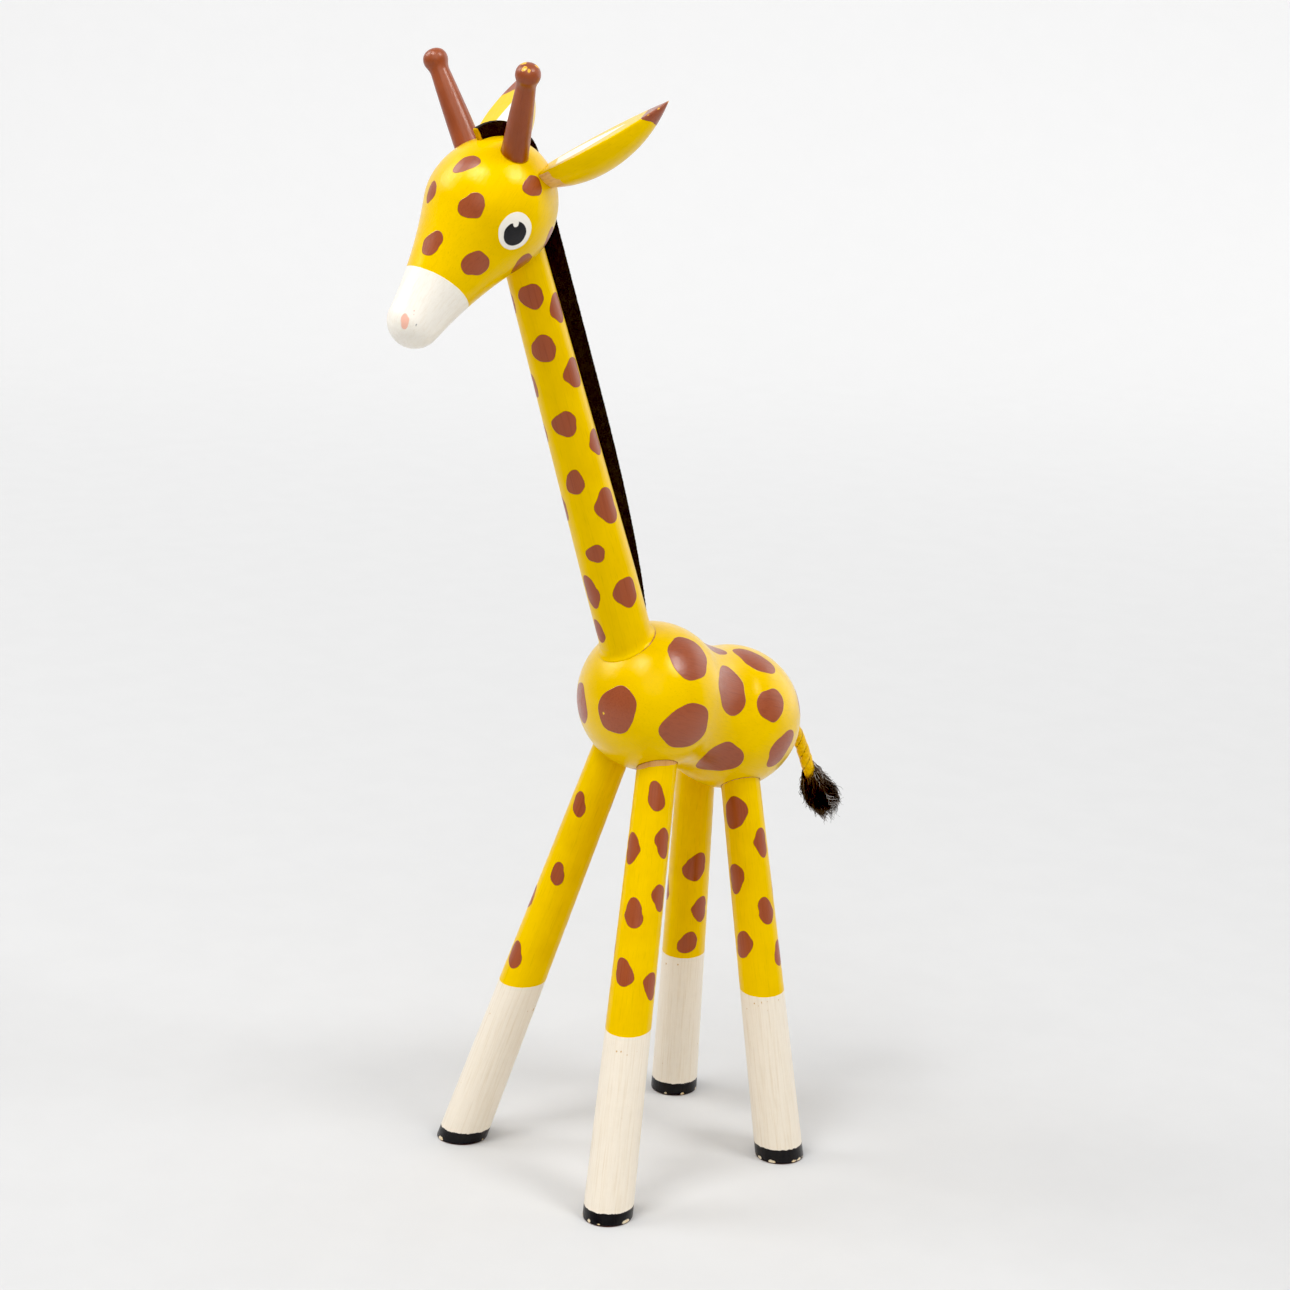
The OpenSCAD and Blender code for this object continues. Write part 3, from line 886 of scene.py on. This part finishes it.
def make_mane():
    obj = sheet("mane_visual", mane_outline(), FELT)
    m = obj.modifiers.new("felt", "REMESH")
    m.mode = "VOXEL"
    m.voxel_size = 0.3 * MM
    apply_modifiers(obj)
    obj.data.shade_smooth()
    normals = read(obj.data.vertices, "normal", width=3)
    p = points_of(obj)
    lump = np.array([noise.fractal(Vector(q) * 0.9, 0.8, 2.0, 3) for q in p])
    p = p + normals * (0.07 * lump - 0.06)[:, None]
    set_points(obj, p)
    put(obj, "grain_mm", p)
    # yellow paint caught on the front end and where it meets the head
    rel = p[:, 1:] - CREST
    ahead = (radians(CREST_START - 0.7) - np.arctan2(rel[:, 1], rel[:, 0])) * CREST_R
    paint = np.minimum(np.where(p[:, 2] > 330, ahead - 0.55, FAR), FAR) + 0.35 * lumps(p * 1.3)
    put(obj, "paint", np.where(p[:, 0] > -0.4, paint, paint + 0.25))
    return ride(obj, felt_material(), "black_felt", "mane")


make_mane()


# ---- neck

def make_neck():
    # finer rings near the torso, where the paint fills the corner
    fine_end = (44, float(neck_radius(44)))
    low = spread([(NECK_BOTTOM + 0.5, NECK_R), fine_end], 0.3)
    high = spread([fine_end, (NECK_TOP - 0.5, NECK_TOP_R)], 0.9)[1:]
    bottom = [(NECK_BOTTOM, 0), (NECK_BOTTOM, NECK_R - 0.5)]
    top = [(NECK_TOP, NECK_TOP_R - 0.5), (NECK_TOP, 0)]
    obj = lathe("neck_visual", neck_place, np.vstack([bottom, low, high, top]), 128)
    p = points_of(obj)
    along, turn, r = neck_place.local(p)
    near = torso_distance(p)
    swell = np.where((r > 8.0) & (near > -4.0), 1.25 * np.exp(-np.clip(near + 0.3, 0, None) / 0.8), 0.0)
    set_points(obj, neck_place.point(along, turn, r + swell))
    cut(obj, [mane_cutter()])
    keep_smooth(obj, turned_normal(neck_place, neck_radius, (NECK_BOTTOM, NECK_TOP)), 0.995)
    p = points_of(obj)
    put(obj, "grain_mm", neck_place.grain(p))
    put(obj, "spot", spots(p, neck_place, neck_radius, NECK_SPOTS))
    put(obj, "glue", torso_distance(p) + 0.16 - 0.36 * np.cos(neck_place.local(p)[1] - 2.0))
    material = painted("neck_paint", [SPOT_LAYER, ("glue", GLUE, GLUE, 0.22, 0.0)], coat=0.2)
    return ride(obj, material, "yellow_paint", "neck")


make_neck()


# ---- head

def horn_cutter(name):
    foot, knob = (np.array(v, float) for v in HORNS[name])
    a = (HORN_PEG + 1) * unit(knob - foot)
    return peg_cutter(foot - a, foot + a, HORN_FOOT_R + 0.08, HORN_FOOT_R + 0.08, 64)


def ear_axes(name):
    """An ear's root, the ways across and back from its flat face and along it, and its length."""
    root, tip, face = (np.array(v, float) for v in EARS[name])
    z = unit(tip - root)
    y = -unit(face - (face @ z) * z)
    return root, np.cross(y, z), y, z, float(norm(tip - root))


def ear_stem_cutter(name):
    root, x, y, z, _ = ear_axes(name)
    c = root + 1.2 * EAR_STEM_R * y
    return peg_cutter(c - 9 * z, c + 2 * z, EAR_STEM_R + 0.08, EAR_STEM_R + 0.08, 48)


def make_head():
    obj = lathe("head_visual", head_place, spread(head_line, 0.5), 224)
    holes = [horn_cutter(n) for n in HORNS] + [ear_stem_cutter(n) for n in EARS]
    cut(obj, holes + [neck_cutter(0.12, 110, NECK_TOP + 1), mane_cutter()])
    keep_smooth(obj, turned_normal(head_place, head_radius, HEAD_ENDS))
    p = points_of(obj)
    s, angle, _ = head_place.local(p)

    def mark(*numbers, **more):
        return blob(p, head_place, head_radius, *numbers, **more)

    def pupil(side):
        dark = mark(6.3, 92.2 * side, 3.55, 0.04, 20 * side, wobble=0.008)
        return np.maximum(dark, -mark(4.0, 85.7 * side, 1.0, 0.15, 35 * side))

    def both(one_side):
        return nearest([one_side(side) for side in (1, -1)])

    put(obj, "grain_mm", head_place.grain(p))
    put(obj, "spot", spots(p, head_place, head_radius, HEAD_SPOTS))
    put(obj, "muzzle", 28.4 - s + 0.5 * np.cos(2 * angle + 0.4))
    put(obj, "eye", both(lambda side: mark(5.8, 91 * side, 5.35, 0.05, 35 * side, wobble=0.006)))
    put(obj, "pupil", both(pupil))
    put(obj, "nostril", both(lambda side: mark(44.3, 40 * side, 1.75, 0.3, 25 * side, 0.08, 10, wobble=0.03)))
    put(obj, "fleck", nearest([mark(40.5, 46.5, 0.26), mark(41.4, 50, 0.16)]))
    put(obj, "smudge", mark(43.5, 66, 0.32, 0.4, 20))
    material = painted("head_paint", [
        ("spot", BROWN, BROWN_DEEP, 0.1, 0.05), ("muzzle", WHITE, srgb(240, 231, 215), 0.1, 0.05),
        ("eye", WHITE, WHITE, 0.06, 0.05), ("pupil", BLACK, BLACK, 0.05, 0.04),
        ("nostril", PINK, PINK, 0.06, 0.04), ("fleck", PINK, PINK, 0.05, 0.02),
        ("smudge", srgb(170, 168, 164), srgb(150, 148, 144), 0.1, 0.0)], coat=0.38)
    return ride(obj, material, "yellow_paint", "head")


make_head()


# ---- horns

def horn_outline(length):
    """Rows of (along, radius): the peg, the tapered shaft, a fillet and the knob, a little flat on top."""
    drop = sqrt((KNOB_R + KNOB_FILLET) ** 2 - (HORN_WAIST_R + KNOB_FILLET) ** 2)
    shaft_end = length - drop
    touch = atan2(drop, HORN_WAIST_R + KNOB_FILLET)
    along = np.linspace(0, 1, 60)
    swell = 0.1 * np.sin(pi * along)
    shaft = np.stack([shaft_end * along, HORN_FOOT_R + (HORN_WAIST_R - HORN_FOOT_R) * along + swell], -1)
    arc = np.linspace(0, touch, 14)[1:]
    fillet = np.stack([np.sin(arc), 1 - np.cos(arc)], -1) * KNOB_FILLET + [shaft_end, HORN_WAIST_R]
    top = np.linspace(-touch, pi / 2, 34)[1:]
    high = np.sin(top) * (1 - 0.09 * np.clip(np.sin(top), 0, 1) ** 2)
    ball = np.stack([length + KNOB_R * high, KNOB_R * np.cos(top)], -1)
    peg = [(-HORN_PEG, 0), (-HORN_PEG, HORN_FOOT_R - 0.4), (0.4 - HORN_PEG, HORN_FOOT_R)]
    outline = np.vstack([peg, shaft, fillet, ball])
    outline[-1, 1] = 0
    return outline


# chips on the left knob's crown: to the giraffe's left, backwards, and radius
KNOB_CHIPS = [(-1.9, -0.9, 0.95), (0.6, -1.9, 0.75), (0.6, 2.2, 0.7), (1.8, -1.2, 0.5)]


def make_horn(name):
    foot, knob = (np.array(v, float) for v in HORNS[name])
    n = float(norm(knob - foot))
    place = Place(foot, knob - foot, [0, -1, 0], [1, 0, 0])
    obj = lathe(name + "_visual", place, horn_outline(n), 96)
    p = points_of(obj)
    put(obj, "grain_mm", place.grain(p))
    put(obj, "glue", head_distance(p) - 0.25)
    ahead, side, along = place.grain(p).T
    chips = [np.full(len(p), FAR)]
    if name == "horn_left":
        chips += [np.where(along > n + 1, np.hypot(side - x, ahead + y) - r, FAR) for x, y, r in KNOB_CHIPS]
    put(obj, "chip", nearest(chips))
    layers = [("glue", srgb(200, 140, 20), srgb(170, 90, 20), 0.3, 0.0),
              ("chip", srgb(236, 176, 20), srgb(220, 150, 16), 0.35, -0.04)]
    material = painted(name + "_paint", layers, coat=0.47, base=srgb(150, 76, 44), deep=srgb(122, 58, 32),
                       rough=0.42, grain=0.9, tint=(1, 0.8, 0.7, 1))
    return ride(obj, material, "brown_paint", name)


for horn_name in HORNS:
    make_horn(horn_name)


# ---- ears

def ear_width(s, length):
    """Half width of an ear along its axis: one arc to the belly and one on to the tip."""
    tip_curve = ((length - EAR_BELLY) ** 2 + EAR_R ** 2) / (2 * EAR_R)
    curve = tip_curve if s > EAR_BELLY else EAR_ROOT_CURVE
    return EAR_R - curve + sqrt(max(curve ** 2 - (s - EAR_BELLY) ** 2, 0))


def half_disc(w):
    """Outline of a half disc of radius w with softened corners, as (across, back) points."""
    c = min(0.45, 0.28 * w)
    edge = sqrt((w - c) ** 2 - c ** 2)
    turn = asin(c / (w - c))

    def arc(x, y, r, start, end, count):
        return [(x + r * cos(t), y + r * sin(t)) for t in np.linspace(start, end, count)]
    right = arc(edge, c, c, -pi / 2, turn, 6)[1:]
    round_back = arc(0, 0, w, turn, pi - turn, 44)[1:-1]
    left = arc(-edge, c, c, pi - turn, 1.5 * pi, 6)[:-1]
    return np.array([(x, 0.0) for x in np.linspace(-edge, edge, 25)] + right + round_back + left)


def make_ear(name):
    root, x, y, z, length = ear_axes(name)
    # the rings draw together over the last 4 mm before the tip
    tip = length - 4 * (1 - np.linspace(0, 1, 12)[1:-1]) ** 1.5
    rings = []
    for s in np.r_[np.linspace(-EAR_SUNK, length - 4, 60), tip]:
        o = half_disc(max(ear_width(s, length), 0.12))
        rings.append(root + s * z + o[:, :1] * x + o[:, 1:] * y)
    ends = root - EAR_SUNK * z + 2 * y, root + length * z + 0.02 * y
    verts, faces = rings_to_mesh(np.array(rings), True, *ends)
    obj = build(name + "_visual", verts, outward(verts, faces))
    skin = np.column_stack([head_line[:, 0] * 1.003, head_line[:, 1] + 0.06 * (head_line[:, 1] > 0)])
    cut(obj, [lathe("cutter", head_place, spread(skin, 0.8), 160)])
    obj.data.shade_smooth()
    obj.data.set_sharp_from_angle(angle=radians(50))
    p = points_of(obj)
    q = p - root
    s, u, v = q @ z, q @ x, q @ y
    put(obj, "grain_mm", np.stack([u, v, s], -1))
    left = name == "ear_left"
    outer = 1 if left else -1
    back = np.clip(v / 3, 0, 1)
    put(obj, "tip", 32.6 - 1.3 * np.clip(outer * u / 6, -1, 1) * (1 - back) + 1.4 * back - s)
    leaf = 5.6 * np.sqrt(np.clip(1 - ((s - 9) / 17.5) ** 2, 0, 1)) * np.clip((26.5 - s) / 14, 0, 1) ** 0.55
    white = np.maximum(np.abs(u - (-1.0 if left else 1.3)) - leaf, 3 - s)
    put(obj, "white", np.where(v < 0.25, white, FAR))
    n = lumps(p * 0.5)
    put(obj, "bare", np.where(v > 0.3, head_distance(p) - 3.2 - 0.3 * v - n, FAR))
    put(obj, "line", np.where(left & (s > 30.5), np.abs(v - 0.3) - 0.32 + 1.2 * np.abs(n), FAR))
    material = painted(name + "_paint", [
        ("white", srgb(252, 246, 230), srgb(246, 236, 214), 0.15, 0.03),
        ("tip", srgb(150, 80, 52), srgb(128, 62, 38), 0.2, 0.05),
        ("bare", BARE, srgb(214, 156, 92), 0.3, -0.05),
        ("line", srgb(240, 176, 30), srgb(240, 176, 30), 0.1, 0.0)], coat=0.5)
    ride(obj, material, "yellow_paint", name)
    # the dowel that holds the ear, hidden in its hole
    place = Place(root + 1.2 * EAR_STEM_R * y - 8 * z, z, x)
    dowel = [(0, 0), (0, EAR_STEM_R - 0.3), (0.3, EAR_STEM_R), (9.4, EAR_STEM_R), (9.4, 0)]
    stem = lathe(name + "_dowel", place, dowel, 48)
    put(stem, "grain_mm", place.grain(points_of(stem)))
    ride(stem, bare_wood, "yellow_paint")


bare_wood = painted("bare_wood", [], coat=0.6, base=BARE, deep=srgb(206, 150, 86), rough=0.6, grain=1.2,
                    tint=(1, 1, 1, 1))
for ear_name in EARS:
    make_ear(ear_name)


# ---- legs

# heights of the sock's top, of the hoof's top and of the bare wood below the torso, and how much the
# hoof's paint has chipped at the floor
LEG_PAINT = {
    "leg_front_left": (57.4, 4.0, 1.7, 0.2), "leg_front_right": (56.9, 4.2, 0.1, 0.42),
    "leg_rear_left": (57.0, 4.9, 0.25, 0.2), "leg_rear_right": (55.2, 4.9, 0.2, 0.42),
}
SOLE_ROUND = 0.7


def leg_mesh(name):
    place, n, radius = leg_axis(name)
    foot, end = place.origin, n - LEG_END_GAP
    angle = round_angles(112)
    out = np.cos(angle)[:, None] * place.front + np.sin(angle)[:, None] * place.side
    # where each side line meets the floor
    floor = -FOOT_R * out[:, 2] / (place.axis[2] - (FOOT_R - LEG_TOP_R) / n * out[:, 2])
    rim = place.point(floor, angle, radius(floor))
    rings = [foot + t * (rim - foot) for t in (0.25, 0.5, 0.72, 0.86)]
    inner = foot + (1 - SOLE_ROUND / FOOT_R) * (rim - foot)
    low = floor + 0.8
    side = place.point(low, angle, radius(low))
    for t in np.linspace(0, 1, 6):
        rings.append(inner * (1 - t) ** 2 + rim * 2 * t * (1 - t) + side * t ** 2)
    for t in np.linspace(0, 1, 170)[1:]:
        s = low * (1 - t) + (end - 0.5) * t
        wave = 0.015 * np.sin(s * 0.9 + 1.3) + 0.01 * np.sin(s * 2.3)
        rings.append(place.point(s, angle, radius(s) + wave * (t > 0.02)))
    top = np.full(len(angle), end)
    rings.append(place.point(top, angle, radius(top) - 0.5))
    verts, faces = rings_to_mesh(np.array(rings), True, foot, foot + end * place.axis)
    verts[:, 2] = np.maximum(verts[:, 2], 0)
    return build(name + "_visual", verts, outward(verts, faces))


def tan_flecks(name):
    """Rows of (along, angle, size): a row of flecks under the sock's top, and some all over it."""
    dots = random.Random(name)

    def turn():
        return dots.uniform(-180, 180)
    rows = [(54.5 - dots.random() * 2.5, turn(), dots.uniform(0.25, 0.45)) for _ in range(11)]
    rows += [(dots.uniform(8, 50), turn(), dots.uniform(0.15, 0.32)) for _ in range(16)]
    return rows + ([(54.8, a, 0.34) for a in (28, 48, 63)] if name == "leg_rear_left" else [])


def make_leg(name):
    place, _, radius = leg_axis(name)
    obj = leg_mesh(name)
    obj.data.set_sharp_from_angle(angle=radians(55))
    p = points_of(obj)
    _, angle, _ = place.local(p)
    sock, hoof, bare, worn = LEG_PAINT[name]
    near = torso_distance(p)
    # each leg takes another part of the same grain
    put(obj, "grain_mm", place.grain(p) + [0, 0, 37 * len(name) % 91])
    put(obj, "spot", spots(p, place, radius, LEG_SPOTS[name]))
    put(obj, "sock", p[:, 2] - sock + 0.5 * np.cos(angle - 0.8))
    put(obj, "hoof", p[:, 2] - hoof)
    put(obj, "glue", near - (0.12 if "front" in name else 0.05))
    put(obj, "bare", near - bare * np.clip(np.cos(angle - radians(40)) + 0.2, 0, 1) + 0.05)
    put(obj, "tan", nearest([blob(p, place, radius, *row, 0.3, wobble=0.1) for row in tan_flecks(name)]))
    chips = lumps(np.column_stack([p[:, :2] * 0.45, np.full(len(p), 3.0 + len(name))]))
    put(obj, "flake", np.abs(p[:, 2] - 0.9) - 0.5 + 2.6 * np.clip(worn - chips, 0, 1))
    put(obj, "edge", p[:, 2] - 0.25)
    layers = [SPOT_LAYER, ("sock", SOCK, srgb(230, 215, 191), 0.1, 0.05),
              ("tan", srgb(206, 168, 104), srgb(196, 156, 92), 0.1, -0.02),
              ("hoof", BLACK, srgb(20, 16, 15), 0.42, 0.06),
              ("flake", srgb(232, 218, 190), srgb(226, 176, 60), 0.3, -0.05),
              ("edge", srgb(120, 56, 30), srgb(120, 56, 30), 0.15, 0.0),
              ("bare", srgb(226, 170, 96), srgb(206, 140, 70), 0.25, 0.0),
              ("glue", GLUE, srgb(150, 84, 24), 0.25, 0.0)]
    return ride(obj, painted(name + "_paint", layers, coat=0.185), "yellow_paint", name)


for leg_name in LEGS:
    make_leg(leg_name)


# ---- floor, backdrop and lights

def make_floor():
    """One sheet that lies flat under the statue and curves up far behind it."""
    bend_at, bend = 1400, 900
    rows = [(d, 0.0) for d in np.linspace(-2500, bend_at, 30)]
    for t in np.linspace(0, pi / 2, 24)[1:]:
        rows.append((bend_at + bend * sin(t), bend * (1 - cos(t))))
    rows += [(bend_at + bend, h) for h in np.linspace(bend, 3600, 8)[1:]]
    away = unit([-cam_back[0], -cam_back[1], 0])
    side = np.array([-away[1], away[0], 0])
    grid = [[d * away + w * side + h * UP for w in np.linspace(-3200, 3200, 9)] for d, h in rows]
    verts, faces = rings_to_mesh(np.array(grid), closed=False)
    obj = build("floor", verts, faces)
    t = Shader("paper_with_painted_glow")
    p = t.node("ShaderNodeTexCoord", None, None, 3)
    n = t.noise(p, 40.0, 3, 0.6)
    colour = t.mix(t.ramp(n, 0.3, 0.7), (0.62, 0.62, 0.62, 1), (0.63, 0.63, 0.63, 1))
    # painted light: the floor and backdrop glow more the further they lie behind the statue, in metres
    behind = t.node("ShaderNodeVectorMath", {"operation": "DOT_PRODUCT"}, {0: p, 1: tuple(away)}, 1)
    painted_glow = t.ramp(behind, -0.2, 2.0, 0.0, 0.41)
    paper_with_painted_glow = {"Base Color": colour, "Roughness": 0.75, "Specular IOR Level": 0.2,
             "Emission Color": (1.0, 1.0, 1.0, 1.0), "Emission Strength": painted_glow}
    obj.data.materials.append(t.finish(**paper_with_painted_glow))


make_floor()


def softbox(name, direction, distance, size, power, target=(0, 10, 190)):
    """An area light in metres and watts, placed by right, up and back of the camera's view."""
    d = unit(direction[0] * cam_right + direction[1] * cam_up + direction[2] * cam_back)
    data = bpy.data.lights.new(name, "AREA")
    data.shape = "RECTANGLE"
    data.size, data.size_y = size
    data.energy = power
    obj = bpy.data.objects.new(name, data)
    bpy.context.scene.collection.objects.link(obj)
    obj.location = np.array(target) * MM + d * distance
    obj.rotation_mode = "QUATERNION"
    obj.rotation_quaternion = Vector(-d).to_track_quat("-Z", "Y")


softbox("key_left", (-0.74, 0.68, 0.05), 1.5, (0.7, 0.7), 7.5)
softbox("top", (-0.30, 0.79, 0.54), 1.5, (0.5, 0.4), 9)
softbox("key_right", (0.54, 0.70, 0.46), 1.5, (0.45, 0.45), 8)
softbox("fill_right", (0.88, 0.25, -0.40), 1.9, (1.8, 1.8), 9)
softbox("fill_front", (0.02, 0.32, 0.94), 2.2, (1.7, 1.7), 9, (0, 0, 240))

world = bpy.data.worlds.new("studio")
bpy.context.scene.world = world
world.use_nodes = True
sky = world.node_tree.nodes["Background"].inputs
sky["Color"].default_value = (1.0, 1.0, 1.0, 1)
sky["Strength"].default_value = 0.44

view = bpy.context.scene.view_settings
view.view_transform = "Standard"
view.look = "None"
view.exposure = 0.0
view.use_curve_mapping = True
view.curve_mapping.black_level = (0.026, 0.026, 0.025)
view.curve_mapping.update()
